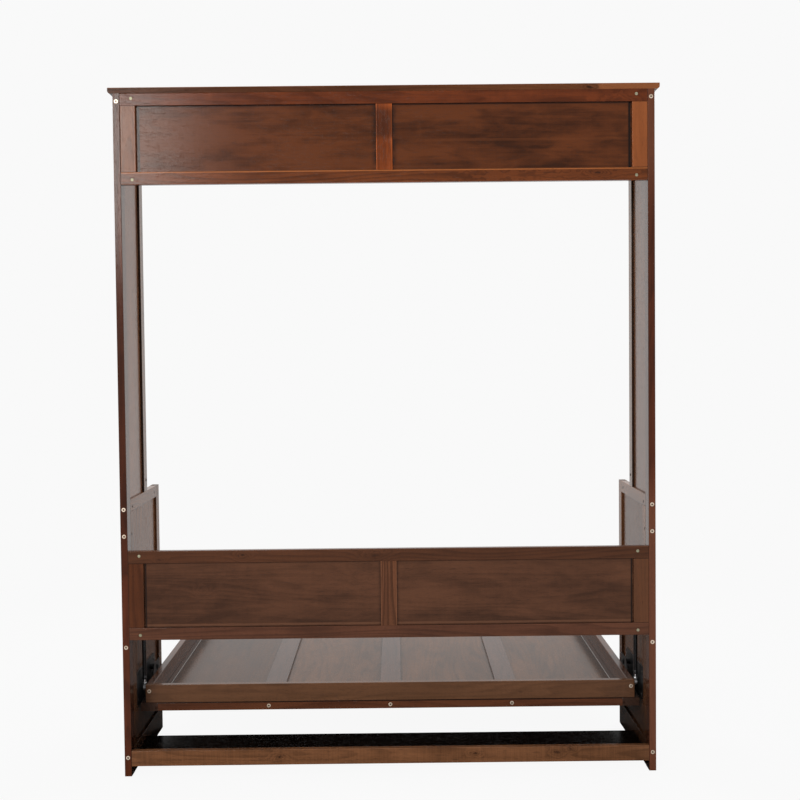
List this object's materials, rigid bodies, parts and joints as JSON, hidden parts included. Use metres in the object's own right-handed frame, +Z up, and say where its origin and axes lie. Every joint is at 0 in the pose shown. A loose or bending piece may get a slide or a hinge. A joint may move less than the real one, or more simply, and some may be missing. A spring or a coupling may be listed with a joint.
{
  "type": "wall bed",
  "caption": "Fold-down wall bed in an open panelled cabinet: mattress tray on a pivot near the floor, gas struts at both sides and folding legs at the foot.",
  "frame": {"origin": "on the floor, below the middle of the bounding box of the open bed", "axes": "+Y from the wall into the room, +Z up, +X to the right of somebody looking from the wall into the room"},
  "size_m": [1.722, 2.218, 2.17],
  "materials": {
    "walnut_stained_wood": "dark walnut stain, semi-gloss lacquer",
    "black_steel": "black powder coat",
    "bright_steel": "turned steel",
    "zinc_fastener": "zinc plated",
    "dark_screw": "blackened steel",
    "black_strut_tube": "gloss black",
    "chrome_rod": "hard chrome"
  },
  "bodies": {
    "cabinet": {"left_rear_post": "walnut_stained_wood", "right_rear_post": "walnut_stained_wood", "left_tall_front_stile": "walnut_stained_wood", "right_tall_front_stile": "walnut_stained_wood", "left_tall_top_rail": "walnut_stained_wood", "right_tall_top_rail": "walnut_stained_wood", "left_tall_panel": "walnut_stained_wood", "right_tall_panel": "walnut_stained_wood", "left_lower_front_stile": "walnut_stained_wood", "right_lower_front_stile": "walnut_stained_wood", "left_lower_top_rail": "walnut_stained_wood", "right_lower_top_rail": "walnut_stained_wood", "left_lower_bottom_rail": "walnut_stained_wood", "right_lower_bottom_rail": "walnut_stained_wood", "left_lower_rear_stile": "walnut_stained_wood", "right_lower_rear_stile": "walnut_stained_wood", "left_lower_panel": "walnut_stained_wood", "right_lower_panel": "walnut_stained_wood", "upper_top_rail": "walnut_stained_wood", "upper_bottom_rail": "walnut_stained_wood", "upper_end_stiles": "walnut_stained_wood", "upper_centre_stile": "walnut_stained_wood", "upper_panels": "walnut_stained_wood", "middle_top_rail": "walnut_stained_wood", "middle_bottom_rail": "walnut_stained_wood", "middle_end_stiles": "walnut_stained_wood", "middle_centre_stile": "walnut_stained_wood", "middle_panels": "walnut_stained_wood", "rear_bottom_rail": "walnut_stained_wood", "base_board": "walnut_stained_wood", "cap_board": "walnut_stained_wood", "left_pivot_plate": "black_steel", "right_pivot_plate": "black_steel", "strut_top_brackets": "black_steel", "pivot_pins": "bright_steel", "frame_bolts": "zinc_fastener", "rail_bolts": "zinc_fastener", "frame_barrel_nuts": "zinc_fastener", "cabinet_screws": "dark_screw"},
    "bed": {"tray_head_rail": "walnut_stained_wood", "tray_foot_rail": "walnut_stained_wood", "tray_left_rail": "walnut_stained_wood", "tray_right_rail": "walnut_stained_wood", "deck_outer_stiles": "walnut_stained_wood", "deck_inner_stiles": "walnut_stained_wood", "deck_head_rail": "walnut_stained_wood", "deck_foot_rail": "walnut_stained_wood", "deck_panels": "walnut_stained_wood", "left_bed_bracket": "black_steel", "right_bed_bracket": "black_steel", "leg_brackets": "black_steel", "bed_bolts": "zinc_fastener", "bed_barrel_nuts": "zinc_fastener", "bed_screws": "dark_screw"},
    "left_leg_body": {"left_leg": "walnut_stained_wood"},
    "right_leg_body": {"right_leg": "walnut_stained_wood"},
    "left_strut_tube_body": {"left_strut_tube": "black_strut_tube"},
    "right_strut_tube_body": {"right_strut_tube": "black_strut_tube"},
    "left_strut_rod_body": {"left_strut_rod": "chrome_rod"},
    "right_strut_rod_body": {"right_strut_rod": "chrome_rod"}
  },
  "joints": [
    {"name": "bed_fold", "type": "hinge", "parent": "cabinet", "child": "bed", "pos_m": [0, -0.779, 0.267], "axis": [1, 0, 0], "range_deg": [0, 90]},
    {"name": "left_leg_fold", "type": "hinge", "parent": "bed", "child": "left_leg_body", "pos_m": [-0.7035, 1.073, 0.1385], "axis": [-1, 0, 0], "range_deg": [0, 90]},
    {"name": "left_strut_swing", "type": "hinge", "parent": "cabinet", "child": "left_strut_tube_body", "pos_m": [-0.8135, -0.937, 0.64], "axis": [1, 0, 0], "range_deg": [0, 19.5]},
    {"name": "left_strut_extend", "type": "slide", "parent": "left_strut_tube_body", "child": "left_strut_rod_body", "axis": [0, 0, -1], "range_m": [0, 0.162]},
    {"name": "right_leg_fold", "type": "hinge", "parent": "bed", "child": "right_leg_body", "pos_m": [0.7035, 1.073, 0.1385], "axis": [-1, 0, 0], "range_deg": [0, 90]},
    {"name": "right_strut_swing", "type": "hinge", "parent": "cabinet", "child": "right_strut_tube_body", "pos_m": [0.8135, -0.937, 0.64], "axis": [1, 0, 0], "range_deg": [0, 19.5]},
    {"name": "right_strut_extend", "type": "slide", "parent": "right_strut_tube_body", "child": "right_strut_rod_body", "axis": [0, 0, -1], "range_m": [0, 0.162]}
  ],
  "couplings": [
    {"joint": "left_strut_swing", "follows": "bed_fold", "ratio": 0.21556},
    {"joint": "left_strut_extend", "follows": "bed_fold", "m_per_rad": 0.10247},
    {"joint": "right_strut_swing", "follows": "bed_fold", "ratio": 0.21556},
    {"joint": "right_strut_extend", "follows": "bed_fold", "m_per_rad": 0.10247}
  ]
}
